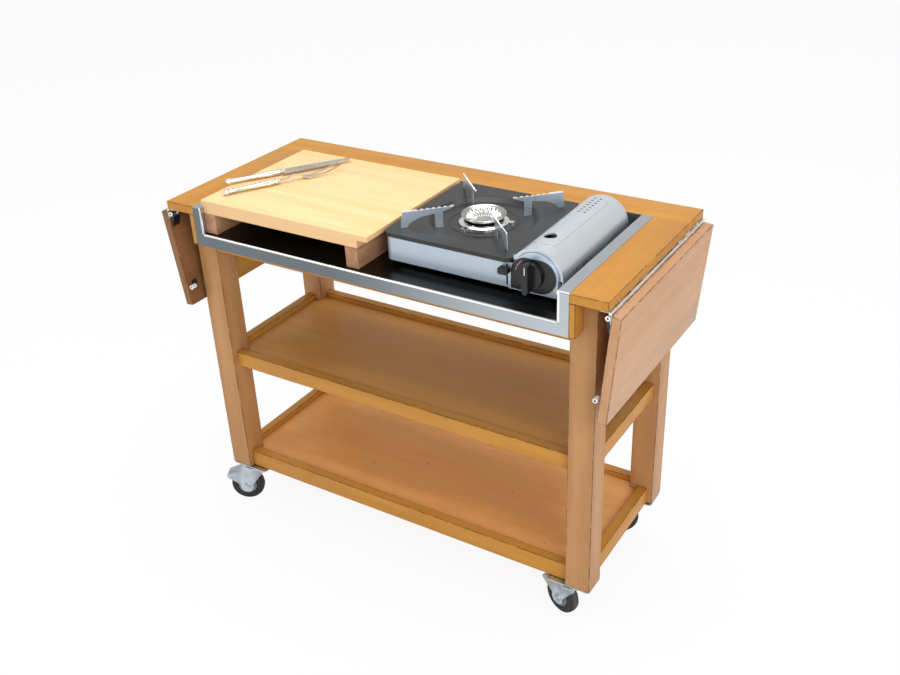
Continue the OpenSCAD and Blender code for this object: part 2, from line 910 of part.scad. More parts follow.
// black dial plate with a straight left side and a rounded right side
module dial_plate() {
  xr = cov_x + 10;
  z = base_z + 33;
  r = 30;
  color("dimgray")
    yplate(stove_y - 1.6, stove_y)
      difference() {
        union() {
          translate([xr, z])
            circle(r, $fn = 96);
          translate([xr - 24, z])
            circle(r, $fn = 96);
          translate([xr - 24, z - r])
            square([24, 2 * r]);
          translate([xr - 54, z - r])
            square([30, r]);
        }
        translate([knob_x, knob_z])
          circle(4 + fit);
      }
}

// round knob with an upright grip
module gas_knob() {
  y1 = stove_y - 1.95;
  color("dimgray")
    union() {
      translate([knob_x, y1, knob_z])
        rotate([90, 0, 0])
          cylinder(r1 = knob_r, r2 = knob_r - 1.4, h = 7);
      yplate(y1 - 21, y1 - 6)
        union() {
          translate([knob_x - 5.5, knob_z - 23])
            square([11, 44]);
          translate([knob_x, knob_z - 23])
            circle(5.5);
          translate([knob_x, knob_z + 21])
            circle(5.5);
        }
      ycyl(knob_x, knob_z, 4, y1 - 1, body_y0 + 8);
    }
}

// black thumb lever that slides down its slot to lock the cartridge
module lock_lever() {
  color("dimgray")
    union() {
      rbox2(slot_x - 10.5, slot_x + 8, body_y0 - 15, body_y0 - 3.4, base_z + 28.5, base_z + 40.5, 3);
      box(slot_x - 1.25, slot_x + 1.25, body_y0 - 4, body_y0 + 10, base_z + 30, base_z + 38);
      box(slot_x - 3, slot_x + 3, body_y0 + 2, body_y0 + 4, base_z + 29, base_z + 39);
    }
}

// a block rounded at its corners as seen from the front
module rbox2(x0, x1, y0, y1, z0, z1, r) {
  yplate(y0, y1)
    rrect(x0, x1, z0, z1, r);
}

// steel gas can with its valve towards the front
module gas_cartridge() {
  y0 = body_y0 + 36;
  color("whitesmoke")
    translate([cov_x, y0, can_z])
      rotate([-90, 0, 0])
        rotate_extrude($fn = 96)
          polygon([[0, -13], [3, -13], [3, -4], [8, -4], [8, 2], [17, 3], [20, 0.6], [22, 0.6], [24, 4],
                   [30.5, 10], [32.4, 13], [33, 17], [33, 176], [31.6, 179], [30, 179], [28, 175], [0, 171]]);
}

// barrel-shaped cover with a raised panel, vents, side slots and a round window
module cartridge_cover() {
  cap = 16;
  l = cov_y1 - cov_y0;
  color("lightsteelblue")
    difference() {
      union() {
        difference() {
          // shell of revolution with a rounded rear end and a narrow front ring
          translate([cov_x, cov_y0, cov_z])
            rotate([-90, 0, 0])
              rotate_extrude($fn = 128)
                difference() {
                  union() {
                    square([cover_r, l - cap]);
                    square([cover_r - cap, l]);
                    translate([cover_r - cap, l - cap])
                      circle(cap);
                  }
                  translate([-1, 1.3])
                    square([cov_in + 1, l - cap - 1.3]);
                  translate([-1, 1.3])
                    square([cover_r - cap + 1, l - 2.6]);
                  translate([cover_r - cap, l - cap])
                    circle(cap - 1.3);
                  translate([-1, -1])
                    square([bezel_r + 0.6 + 1, 5]);
                  translate([-60, -1])
                    square([60, 400]);
                }
          // open below the hinge on the left and below the middle on the right
          box(cov_x - 60, hinge_x + 12, cov_y0 - 5, cov_y1 + 5, base_z - 20, hinge_z);
          box(cov_x - 60, cov_x + 60, cov_y0 - 5, cov_y1 + 5, base_z - 20, cov_z);
        }
        // straight skirt on the right
        box(cov_x + cov_in, cov_x + cover_r, cov_y0, cov_y1 - cap, base_z + 22, cov_z);
        // raised panel on top
        intersection() {
          translate([0, 0, cov_z])
            linear_extrude(80)
              rrect(cov_x - 20, cov_x + 20, cov_y0 + 24, cov_y1 - 28, 12);
          difference() {
            ycyl(cov_x, cov_z, cover_r + 1.2, cov_y0 + 10, cov_y1 - 10);
            ycyl(cov_x, cov_z, cover_r - 0.4, cov_y0 + 9, cov_y1 - 9);
          }
        }
        // rolled hinge edge with a pivot at each end
        ycyl(hinge_x, hinge_z, 1.8, lug_y0 + 3.4, lug_y1 - 0.4);
        ycyl(hinge_x, hinge_z, pin_r, lug_y0 + 0.4, lug_y1 + 2.6);
      }
      // clearance for the lugs
      for (y = [lug_y0, lug_y1])
        difference() {
          box(hinge_x - 8, part_x + 2.5, y - 0.4, y + 3.4, base_z + 24, hinge_z + 6);
          ycyl(hinge_x, hinge_z, pin_r, y - 2, y + 6);
        }
      // round window
      translate([cov_x - 3, cov_y0 + 57, cov_z])
        cylinder(r = 11.5, h = 80);
      // two rows of seven vents
      for (i = [0 : 6])
        for (x = [cov_x - 9, cov_x + 2])
          translate([x, cov_y0 + 172 + i * 11.2, cov_z + 20])
            cube([5, 4, 60]);
      // two groups of six side slots
      for (g = [0, 1])
        for (i = [0 : 5])
          translate([cov_x + 30, cov_y0 + 38 + g * 158 + i * 12, base_z + 26])
            cube([30, 4, 10]);
    }
}

top_side(-1);  // top_left
top_side(1);  // top_right
top_back();
leg(-1, -1);  // leg_front_left
leg(1, -1);  // leg_front_right
leg(-1, 1);  // leg_rear_left
leg(1, 1);  // leg_rear_right
end_apron(-1);  // end_apron_left
end_apron(1);  // end_apron_right
rear_apron();
front_rail();
well_cheeks();
steel_well();
shelf_panel(z_hi);  // upper_shelf_panel
rail_long(-1, z_hi, rail_hi_h);  // upper_rail_front
rail_long(1, z_hi, rail_hi_h);  // upper_rail_rear
rails_end(z_hi, rail_hi_h);  // upper_rails_end
shelf_panel(z_lo);  // lower_shelf_panel
rail_long(-1, z_lo, rail_lo_h);  // lower_rail_front
rail_long(1, z_lo, rail_lo_h);  // lower_rail_rear
rails_end(z_lo, rail_lo_h);  // lower_rails_end
hinge_leaf(-1);  // hinge_leaf_left
hinge_leaf(1);  // hinge_leaf_right
flap(-1, lean_left);  // flap_left
flap(1, lean_right);  // flap_right
flap_leaf(-1, lean_left);  // flap_leaf_left
flap_leaf(1, lean_right);  // flap_leaf_right
flap_bracket(-1, lean_left);  // flap_bracket_left
flap_bracket(1, lean_right);  // flap_bracket_right
flap_rollers(-1, lean_left);  // flap_rollers_left
flap_rollers(1, lean_right);  // flap_rollers_right
caster_plates();
caster_screws();
caster_fork(-1, -1, turn_fl);  // fork_front_left
caster_fork(1, -1, turn_fr);  // fork_front_right
caster_fork(-1, 1, turn_rl);  // fork_rear_left
caster_fork(1, 1, turn_rr);  // fork_rear_right
caster_wheel(-1, -1, turn_fl);  // wheel_front_left
caster_wheel(1, -1, turn_fr);  // wheel_front_right
caster_wheel(-1, 1, turn_rl);  // wheel_rear_left
caster_wheel(1, 1, turn_rr);  // wheel_rear_right
cutting_board();
board_runners();
knife_handle();
knife_blade();
fork_handle();
fork_tines();
stove_body();
stove_feet();
stove_plate();
burner_ring();
burner_head();
pan_supports();
dial_plate();
gas_knob();
lock_lever();
gas_cartridge();
cartridge_cover();
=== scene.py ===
import json
import math

import bmesh
import bpy
import numpy as np
from mathutils import Matrix, Vector

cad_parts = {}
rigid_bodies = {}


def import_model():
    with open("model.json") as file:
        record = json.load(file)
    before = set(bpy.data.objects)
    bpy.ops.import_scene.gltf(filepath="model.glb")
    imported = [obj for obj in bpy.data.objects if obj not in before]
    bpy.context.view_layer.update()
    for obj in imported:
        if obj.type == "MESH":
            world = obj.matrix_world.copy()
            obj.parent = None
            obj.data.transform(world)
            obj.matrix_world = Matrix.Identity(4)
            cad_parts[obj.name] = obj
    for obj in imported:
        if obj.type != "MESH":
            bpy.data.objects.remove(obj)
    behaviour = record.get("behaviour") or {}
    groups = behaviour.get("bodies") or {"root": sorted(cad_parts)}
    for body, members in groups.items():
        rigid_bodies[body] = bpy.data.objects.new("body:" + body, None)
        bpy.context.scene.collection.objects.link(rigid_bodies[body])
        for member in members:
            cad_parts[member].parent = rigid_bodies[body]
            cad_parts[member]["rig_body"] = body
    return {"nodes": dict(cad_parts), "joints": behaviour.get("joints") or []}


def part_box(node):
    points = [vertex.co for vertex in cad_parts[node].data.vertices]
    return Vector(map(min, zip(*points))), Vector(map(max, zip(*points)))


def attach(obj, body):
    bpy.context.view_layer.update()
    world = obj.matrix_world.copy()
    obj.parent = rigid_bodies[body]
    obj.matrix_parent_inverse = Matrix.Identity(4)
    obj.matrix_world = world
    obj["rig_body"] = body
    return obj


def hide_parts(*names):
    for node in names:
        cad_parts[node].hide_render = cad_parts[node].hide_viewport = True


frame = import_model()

nodes = frame["nodes"]
joints = {joint["name"]: joint for joint in frame["joints"]}
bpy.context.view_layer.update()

# Wooden frame
# The frame is beech, planed square and glued, stained honey brown and lacquered. A dark glaze was rubbed
# on before the lacquer and stayed along the edges, in the joints and in the small dents.


def put(tree, kind, settings=None, **inputs):
    """Adds a shader node. An input is a value or another node's output, by name or as i0, i1 and so on."""
    node = tree.nodes.new("ShaderNode" + kind)
    for name, value in (settings or {}).items():
        setattr(node, name, value)
    for name, value in inputs.items():
        by_number = name[0] == "i" and name[1:].isdigit()
        socket = node.inputs[int(name[1:]) if by_number else name.replace("_", " ")]
        if isinstance(value, bpy.types.NodeSocket):
            tree.links.new(value, socket)
        else:
            socket.default_value = value
    return node


def calc(tree, operation, *values):
    """The result of a Math node on the given values."""
    inputs = {f"i{number}": value for number, value in enumerate(values)}
    return put(tree, "Math", {"operation": operation}, **inputs).outputs[0]


def vector(tree, operation, *values):
    """The result of a Vector Math node: its vector, or its number for a length or a dot product."""
    inputs = {f"i{number}": value for number, value in enumerate(values)}
    node = put(tree, "VectorMath", {"operation": operation}, **inputs)
    return node.outputs["Value" if operation in ("LENGTH", "DOT_PRODUCT") else "Vector"]


def ease(tree, value, low, high, start=0.0, end=1.0):
    """A smooth step of a value, from start below low to end above high."""
    settings = {"interpolation_type": "SMOOTHSTEP"}
    span = {"From_Min": low, "From_Max": high, "To_Min": start, "To_Max": end}
    return put(tree, "MapRange", settings, Value=value, **span).outputs["Result"]


def stain(tree, mask, below, above):
    """One colour laid over another by a mask."""
    node = put(tree, "Mix", {"data_type": "RGBA"}, i0=mask, i6=below, i7=above)
    return node.outputs[2]


def cloud(tree, at, scale, detail=2.0, roughness=0.5):
    """Soft noise between 0 and 1."""
    sizes = {"Scale": scale, "Detail": detail, "Roughness": roughness}
    return put(tree, "TexNoise", None, Vector=at, **sizes).outputs["Fac"]


def start_group(name, inputs, outputs):
    """An empty shader node group with named sockets; an input is (name, kind, starting value)."""
    group = bpy.data.node_groups.new(name, "ShaderNodeTree")
    for label, kind, value in inputs:
        socket = group.interface.new_socket(label, in_out="INPUT", socket_type="NodeSocket" + kind)
        socket.default_value = value
    for label, kind in outputs:
        group.interface.new_socket(label, in_out="OUTPUT", socket_type="NodeSocket" + kind)
    given = group.nodes.new("NodeGroupInput").outputs
    result = group.nodes.new("NodeGroupOutput").inputs
    return group, given, result


def use(tree, group, **inputs):
    """Places a shader node group in a material and returns its outputs."""
    node = put(tree, "Group", {"node_tree": group}, **inputs)
    return node.outputs


def start_finish(name, metallic=0.0, roughness=0.5, coat=0.0, coat_roughness=0.1, specular=0.5):
    """A material with the shader's fixed numbers set, and the place on the piece for its textures."""
    material = bpy.data.materials.new(name)
    material.use_nodes = True
    tree = material.node_tree
    shader = tree.nodes["Principled BSDF"]
    shader.inputs["Metallic"].default_value = metallic
    shader.inputs["Roughness"].default_value = roughness
    shader.inputs["Coat Weight"].default_value = coat
    shader.inputs["Coat Roughness"].default_value = coat_roughness
    shader.inputs["Specular IOR Level"].default_value = specular
    return material, tree, shader, put(tree, "TexCoord").outputs["Object"]


def connect(tree, shader, colour=None, roughness=None, height=None, depth=0.0002):
    """Joins a colour, a roughness and a height in units of depth to the shader."""
    if colour is not None:
        tree.links.new(colour, shader.inputs["Base Color"])
    if roughness is not None:
        tree.links.new(roughness, shader.inputs["Roughness"])
    if height is not None:
        bump = put(tree, "Bump", None, Strength=1.0, Distance=depth, Height=height)
        tree.links.new(bump.outputs[0], shader.inputs["Normal"])


def tone(red, green, blue):
    """A colour as seen on a screen, 0 to 255, made linear for the shader."""
    seen = [value / 255 for value in (red, green, blue)]
    linear = [v / 12.92 if v <= 0.04045 else ((v + 0.055) / 1.055) ** 2.4 for v in seen]
    return (*linear, 1.0)


def make_wood_grain():
    """Grain along X: broad growth bands, fine fibres and the short dark flecks of beech."""
    tree, given, result = start_group(
        "beech_grain",
        [("Vector", "Vector", (0, 0, 0))],
        [("Bands", "Float"), ("Fibres", "Float"), ("Flecks", "Float")],
    )
    long_way = vector(tree, "MULTIPLY", given["Vector"], (0.09, 1.0, 1.0))
    bands = cloud(tree, long_way, 34.0, 3.0, 0.55)
    fine_way = vector(tree, "MULTIPLY", given["Vector"], (0.03, 1.0, 1.0))
    fibres = cloud(tree, fine_way, 620.0, 3.0, 0.6)
    fleck_way = vector(tree, "MULTIPLY", given["Vector"], (0.2, 1.0, 1.0))
    flecks = cloud(tree, fleck_way, 700.0, 1.0)
    tree.links.new(ease(tree, bands, 0.3, 0.7), result["Bands"])
    tree.links.new(fibres, result["Fibres"])
    tree.links.new(ease(tree, flecks, 0.62, 0.7), result["Flecks"])
    return tree


def make_edge_glaze():
    """A thin line by the edges of a box, from the middle one of the three values |p - centre| - half."""
    tree, given, result = start_group(
        "edge_glaze",
        [
            ("Vector", "Vector", (0, 0, 0)),
            ("Centre", "Vector", (0, 0, 0)),
            ("Half", "Vector", (1, 1, 1)),
            ("Width", "Float", 0.002),
        ],
        [("Line", "Float"), ("Shade", "Float")],
    )
    offset = vector(tree, "SUBTRACT", given["Vector"], given["Centre"])
    reach = vector(tree, "SUBTRACT", vector(tree, "ABSOLUTE", offset), given["Half"])
    parts = put(tree, "SeparateXYZ", None, Vector=reach).outputs
    total = calc(tree, "ADD", calc(tree, "ADD", parts[0], parts[1]), parts[2])
    highest = calc(tree, "MAXIMUM", calc(tree, "MAXIMUM", parts[0], parts[1]), parts[2])
    lowest = calc(tree, "MINIMUM", calc(tree, "MINIMUM", parts[0], parts[1]), parts[2])
    middle = calc(tree, "SUBTRACT", calc(tree, "SUBTRACT", total, highest), lowest)
    away = calc(tree, "MULTIPLY", middle, -1.0)
    wander = cloud(tree, given["Vector"], 45.0, 3.0, 0.7)
    uneven = ease(tree, wander, 0.32, 0.6, 0.25, 1.15)
    width = calc(tree, "MULTIPLY", given["Width"], uneven)
    line = calc(tree, "SUBTRACT", 1.0, ease(tree, calc(tree, "DIVIDE", away, width), 0.35, 1.0))
    wide = calc(tree, "DIVIDE", away, calc(tree, "MULTIPLY", given["Width"], 9.0))
    shade = calc(tree, "SUBTRACT", 1.0, ease(tree, wide, 0.0, 1.0))
    tree.links.new(line, result["Line"])
    tree.links.new(calc(tree, "MULTIPLY", shade, wander), result["Shade"])
    return tree


def make_knocks():
    """Small round dents left here and there: a share of the cells has one, of its own size."""
    tree, given, result = start_group(
        "knocks",
        [("Vector", "Vector", (0, 0, 0)), ("Scale", "Float", 60.0), ("Share", "Float", 0.2)],
        [("Dents", "Float")],
    )
    wobble = put(tree, "TexNoise", None, Vector=given["Vector"], Scale=320.0, Detail=2.0).outputs["Color"]
    about = vector(tree, "SUBTRACT", wobble, (0.5, 0.5, 0.5))
    at = vector(tree, "ADD", given["Vector"], vector(tree, "MULTIPLY", about, (0.004, 0.004, 0.004)))
    cells = put(tree, "TexVoronoi", {"feature": "F1"}, Vector=at, Scale=given["Scale"])
    pick = put(tree, "SeparateColor", None, Color=cells.outputs["Color"]).outputs
    chosen = calc(tree, "LESS_THAN", pick[0], given["Share"])
    size = calc(tree, "MULTIPLY_ADD", pick[1], 0.09, 0.035)
    near = calc(tree, "DIVIDE", cells.outputs["Distance"], size)
    spot = calc(tree, "SUBTRACT", 1.0, ease(tree, near, 0.45, 1.0))
    tree.links.new(calc(tree, "MULTIPLY", spot, chosen), result["Dents"])
    return tree


beech_grain = make_wood_grain()
edge_glaze = make_edge_glaze()
knocks = make_knocks()
GLAZE = tone(70, 38, 20)
HONEY = tone(196, 139, 56)
HONEY_DEEP = tone(168, 112, 42)
LEG_HONEY_AS_LIT = tone(188, 140, 92)
LEG_DEEP_AS_LIT = tone(156, 109, 68)
GRAIN_WAYS = {"x": (0, 1, 2), "y": (1, 0, 2), "z": (2, 1, 0)}
GRAIN_STEP = (0.37, 0.83, 1.31)
GLAZE_WIDTH = 0.0021
KNOCK_SCALE = 38.0
KNOCK_SHARE = 0.11
WOOD_RELIEF = 0.00035
MERGE = 1e-6
BOARD_EASE = 0.0012
CORNERS = ("front_left", "front_right", "rear_left", "rear_right")


def along_grain(tree, at, way, shift):
    """The place on the piece with its grain turned to run along X, moved so that no two boards match."""
    parts = put(tree, "SeparateXYZ", None, Vector=at).outputs
    order = GRAIN_WAYS[way]
    turned = put(tree, "CombineXYZ", None, X=parts[order[0]], Y=parts[order[1]], Z=parts[order[2]]).outputs[0]
    return vector(tree, "ADD", turned, tuple(step * shift for step in GRAIN_STEP))


def stained_beech(name, way, centre, half, light, deep, shift, mirrored=False, place=None, cloudy=0.0):
    """Stained beech for one board, whose box gives the dark lines along its edges. Two mirrored blocks
    share the box of the right one. A leaning board has the place of its own upright frame."""
    material, tree, shader, at = start_finish(name, coat=0.1, coat_roughness=0.25, specular=0.25)
    if place is not None:
        settings = {"vector_type": "TEXTURE"}
        at = put(tree, "Mapping", settings, Vector=at, Location=place[0], Rotation=place[1]).outputs[0]
    boxed = at
    if mirrored:
        parts = put(tree, "SeparateXYZ", None, Vector=at).outputs
        side = calc(tree, "ABSOLUTE", parts[0])
        boxed = put(tree, "CombineXYZ", None, X=side, Y=parts[1], Z=parts[2]).outputs[0]
    grain = use(tree, beech_grain, Vector=along_grain(tree, at, way, shift))
    edges = use(tree, edge_glaze, Vector=boxed, Centre=centre, Half=half, Width=GLAZE_WIDTH)
    dents = use(tree, knocks, Vector=at, Scale=KNOCK_SCALE, Share=KNOCK_SHARE)["Dents"]
    smoky = cloud(tree, at, 7.0, 3.0, 0.6)
    colour = stain(tree, calc(tree, "MULTIPLY", grain["Bands"], 0.5), light, deep)
    colour = stain(tree, calc(tree, "MULTIPLY", grain["Fibres"], 0.24), colour, deep)
    colour = stain(tree, calc(tree, "MULTIPLY", grain["Flecks"], 0.12), colour, GLAZE)
    colour = stain(tree, ease(tree, smoky, 0.42, 0.78, 0.0, 0.35), colour, deep)
    if cloudy:
        colour = darker_middle(tree, at, colour, centre, half, cloudy)
    colour = stain(tree, calc(tree, "MULTIPLY", edges["Shade"], 0.38), colour, deep)
    colour = stain(tree, calc(tree, "MULTIPLY", edges["Line"], 0.62), colour, GLAZE)
    colour = stain(tree, calc(tree, "MULTIPLY", dents, 0.8), colour, GLAZE)
    rough = calc(tree, "MULTIPLY_ADD", grain["Fibres"], 0.16, 0.38)
    height = calc(tree, "SUBTRACT", calc(tree, "MULTIPLY", grain["Fibres"], 0.25), dents)
    connect(tree, shader, colour, rough, height, WOOD_RELIEF)
    return material


def darker_middle(tree, at, colour, centre, half, amount):
    """The darker, cloudy brown in the middle of a shelf, which fades towards its rails."""
    offset = vector(tree, "DIVIDE", vector(tree, "SUBTRACT", at, centre), half)
    parts = put(tree, "SeparateXYZ", None, Vector=offset).outputs
    wavy = cloud(tree, at, 5.0, 3.0, 0.55)
    wave = calc(tree, "MULTIPLY_ADD", wavy, 0.55, -0.28)
    away = calc(tree, "MAXIMUM", calc(tree, "ABSOLUTE", parts[0]), calc(tree, "ABSOLUTE", parts[1]))
    inside = ease(tree, calc(tree, "ADD", away, wave), 0.38, 0.98, 1.0, 0.0)
    return stain(tree, calc(tree, "MULTIPLY", inside, amount), colour, tone(176, 122, 66))


def ride_with(piece, node):
    """Lets a new piece move with a node's body."""
    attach(piece, nodes[node]["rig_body"])


def merged_copy(node):
    """A bmesh of a CAD node with its doubled corners merged."""
    shape = bmesh.new()
    shape.from_mesh(nodes[node].data)
    bmesh.ops.remove_doubles(shape, verts=shape.verts, dist=MERGE)
    return shape


def finished_mesh(name, shape):
    """A mesh made from a bmesh, which is then freed."""
    mesh = bpy.data.meshes.new(name)
    shape.to_mesh(mesh)
    shape.free()
    return mesh


def shade_smooth(mesh):
    """Marks every face of a mesh as smooth."""
    mesh.polygons.foreach_set("use_smooth", np.ones(len(mesh.polygons), bool))


def new_piece(name, mesh, material, node):
    """An object for a new mesh, with one material, on the body of a node."""
    mesh.materials.clear()
    mesh.materials.append(material)
    piece = bpy.data.objects.new(name, mesh)
    bpy.context.scene.collection.objects.link(piece)
    ride_with(piece, node)
    return piece


def eased_board(node, material, width=BOARD_EASE):
    """A board with its sharp edges rounded over: the CAD solid's faces merged to plain sides and bevelled."""
    shape = merged_copy(node)
    bmesh.ops.dissolve_limit(shape, angle_limit=0.01, verts=shape.verts, edges=shape.edges)
    mesh = finished_mesh(node + "_eased", shape)
    shade_smooth(mesh)
    board = new_piece(node + "_eased", mesh, material, node)
    bevel = board.modifiers.new("eased_edges", "BEVEL")
    bevel.width = width
    bevel.segments = 3
    bevel.limit_method = "ANGLE"
    bevel.harden_normals = True
    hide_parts(node)


def box_of(node):
    """Centre and half size of a node's box at rest."""
    low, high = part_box(node)
    return tuple((low + high) / 2), tuple((high - low) / 2)


def box_of_pair(node):
    """Centre and half size of the right one of two mirrored blocks in a node."""
    points = np.array([v.co for v in nodes[node].data.vertices])
    points = points[points[:, 0] > 0]
    low, high = points.min(0), points.max(0)
    return tuple((low + high) / 2), tuple((high - low) / 2)


def beech_board(node, way, box, light, deep, shift, width=BOARD_EASE, **options):
    """Stains one board and rounds its edges over. The box is its centre and half size."""
    finish = stained_beech("beech_" + node, way, *box, light, deep, shift, **options)
    eased_board(node, finish, width)


BOARD_WAYS = {
    "top_left": "y",
    "top_right": "y",
    "top_back": "x",
    "end_apron_left": "y",
    "end_apron_right": "y",
    "rear_apron": "x",
    "front_rail": "x",
}
top_boxes = [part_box(board_node) for board_node in ("top_left", "top_right", "top_back")]
top_low = np.min([box[0] for box in top_boxes], axis=0)
top_high = np.max([box[1] for box in top_boxes], axis=0)
top_box = (tuple((top_low + top_high) / 2), tuple((top_high - top_low) / 2))
for number, (board_node, board_way) in enumerate(BOARD_WAYS.items()):
    # the glued joints between the boards of the top carry no dark line
    box = top_box if board_node.startswith("top_") else box_of(board_node)
    beech_board(board_node, board_way, box, HONEY, HONEY_DEEP, 1 + number)

# painted light and shade in part: the legs' tone apart from the top is partly the wood's own and partly how
# light falls on them
for number, corner in enumerate(CORNERS):
    leg_node = "leg_" + corner
    beech_board(leg_node, "z", box_of(leg_node), LEG_HONEY_AS_LIT, LEG_DEEP_AS_LIT, 10 + number)

box = box_of_pair("well_cheeks")
beech_board("well_cheeks", "z", box, HONEY, HONEY_DEEP, 15, width=0.0008, mirrored=True)

# Shelves
# Each shelf is a thin beech panel in a rebate of four rails, which stand up around it as a low rim.
# painted light and shade in part: each shelf's tones, the lower shelf lighter, are partly the wood's own and
# partly how light falls on it
SHELF_HONEY_AS_LIT = (tone(218, 156, 84), tone(232, 172, 104))
SHELF_DEEP_AS_LIT = (tone(192, 132, 68), tone(208, 148, 86))
SHELF_CLOUDY = (0.75, 0.45)

for number, shelf in enumerate(("upper", "lower")):
    panel = shelf + "_shelf_panel"
    light, deep, cloudy = SHELF_HONEY_AS_LIT[number], SHELF_DEEP_AS_LIT[number], SHELF_CLOUDY[number]
    beech_board(panel, "x", box_of(panel), light, deep, 20 + number, width=0.0004, cloudy=cloudy)
    for rail, shift in (("front", 29), ("rear", 28)):
        rail_node = f"{shelf}_rail_{rail}"
        beech_board(rail_node, "x", box_of(rail_node), HONEY, HONEY_DEEP, shift + 2 * number)
    rails_node = shelf + "_rails_end"
    beech_board(rails_node, "y", box_of_pair(rails_node), HONEY, HONEY_DEEP, 34 + number, mirrored=True)

# Flaps
# Two single beech boards hang on piano hinges at the ends. They have the dark edges of the top. The left one
# is a darker tone than the right as painted shade, though both are the same wood.
# painted shade: the left flap's tones are darker than the right flap's
FLAP_LIGHT_AS_LIT = {"left": tone(144, 102, 62), "right": tone(196, 152, 116)}
FLAP_DEEP_AS_LIT = {"left": tone(118, 80, 48), "right": tone(170, 126, 90)}

for side, sign in (("left", -1), ("right", 1)):
    # a hanging flap leans out a little, so its box is measured along its own faces, from the pin
    hinge = joints[f"flap_{side}_hinge"]
    lean = math.radians(hinge["range_deg"][1] - 90.0)
    flap_node = "flap_" + side
    points = np.array([v.co for v in nodes[flap_node].data.vertices]) - np.array(hinge["pos_m"])
    turn = -sign * lean
    across = points[:, 0] * math.cos(turn) + points[:, 2] * math.sin(turn)
    down = -points[:, 0] * math.sin(turn) + points[:, 2] * math.cos(turn)
    flat = np.stack([across, points[:, 1], down], 1)
    box = (tuple((flat.min(0) + flat.max(0)) / 2), tuple((flat.max(0) - flat.min(0)) / 2))
    place = (tuple(hinge["pos_m"]), (0.0, sign * lean, 0.0))
    beech_board(flap_node, "y", box, FLAP_LIGHT_AS_LIT[side], FLAP_DEEP_AS_LIT[side], 40 + sign, place=place)

# Piano hinges, brackets and rollers
# The hinge leaves are nickel-plated steel rolled round a pin. Black pressed brackets carry white nylon
# rollers on steel spindles.


def make_rubbed_metal():
    """Fine scratches along X and slow patches, for the roughness and the height of a metal."""
    tree, given, result = start_group(
        "rubbed_metal",
        [("Vector", "Vector", (0, 0, 0)), ("Stretch", "Float", 0.02)],
        [("Scratches", "Float"), ("Patches", "Float")],
    )
    stretch = put(tree, "CombineXYZ", None, X=given["Stretch"], Y=1.0, Z=1.0).outputs[0]
    scratch_way = vector(tree, "MULTIPLY", given["Vector"], stretch)
    tree.links.new(cloud(tree, scratch_way, 1500.0, 2.0, 0.6), result["Scratches"])
    tree.links.new(cloud(tree, given["Vector"], 24.0, 3.0, 0.6), result["Patches"])
    return tree


rubbed_metal = make_rubbed_metal()


def plated_metal(name, colour, dull, roughness, way="x", stretch=0.02):
    """Plated or brushed metal: scratches one way, patches of a duller tone."""
    material, tree, shader, at = start_finish(name, metallic=1.0, roughness=roughness)
    marks = use(tree, rubbed_metal, Vector=along_grain(tree, at, way, 0), Stretch=stretch)
    shade = stain(tree, ease(tree, marks["Patches"], 0.35, 0.7), colour, dull)
    rough = calc(tree, "MULTIPLY_ADD", marks["Scratches"], 0.16, roughness - 0.08)
    connect(tree, shader, shade, rough, marks["Scratches"], depth=0.00003)
    return material


def dress(node, material):
    """Puts a material on a CAD node that stays in view."""
    nodes[node].data.materials.clear()
    nodes[node].data.materials.append(material)


nickel = plated_metal("nickel_plate", tone(248, 248, 250), tone(222, 224, 228), 0.3, way="y", stretch=0.05)
zinc = plated_metal("zinc_plate", tone(208, 216, 224), tone(160, 170, 182), 0.34, stretch=0.4)


def make_smudges():
    """Slow patches and fine speckle that vary the gloss of a smooth or moulded surface."""
    tree, given, result = start_group(
        "smudges",
        [("Vector", "Vector", (0, 0, 0)), ("Speckle", "Float", 900.0)],
        [("Patches", "Float"), ("Speckle", "Float")],
    )
    tree.links.new(cloud(tree, given["Vector"], 30.0, 3.0, 0.6), result["Patches"])
    tree.links.new(cloud(tree, given["Vector"], given["Speckle"], 2.0, 0.7), result["Speckle"])
    return tree


smudges = make_smudges()


def smooth_coat(name, colour, worn, roughness, coat=0.0, speckle=900.0):
    """Paint, enamel, nylon or moulded plastic: two close tones in patches and a fine uneven gloss."""
    material, tree, shader, at = start_finish(name, roughness=roughness, coat=coat)
    marks = use(tree, smudges, Vector=at, Speckle=speckle)
    shade = stain(tree, ease(tree, marks["Patches"], 0.3, 0.75), colour, worn)
    rough = calc(tree, "MULTIPLY_ADD", marks["Patches"], 0.14, roughness - 0.07)
    connect(tree, shader, shade, rough, marks["Speckle"], depth=0.00004)
    return material


black_paint = smooth_coat("black_bracket_paint", tone(26, 26, 27), tone(40, 40, 42), 0.4)
nylon = smooth_coat("white_nylon", tone(236, 236, 232), tone(216, 216, 210), 0.45)
for side in ("left", "right"):
    dress("hinge_leaf_" + side, nickel)
    dress("flap_leaf_" + side, nickel)
    dress("flap_bracket_" + side, black_paint)
    dress("flap_rollers_" + side, nylon)

# Steel well
# One sheet of brushed stainless steel, folded to a shallow tray with rims and a turned-down front edge.
# Its floor under the board and the stove is painted near black as painted shade.

# measures of the CAD well, the slack for finding its folds, and how far the two sides move inwards
WELL_FLOOR = 0.6825
WALL_X = 0.392
FRONT_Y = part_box("steel_well")[0][1]
FOLD_REACH = 0.0045
FOLD_DEPTH = 0.0062
SLACK = 0.0001
RIGHT_MOVE = 0.010
LEFT_MOVE = 0.0075


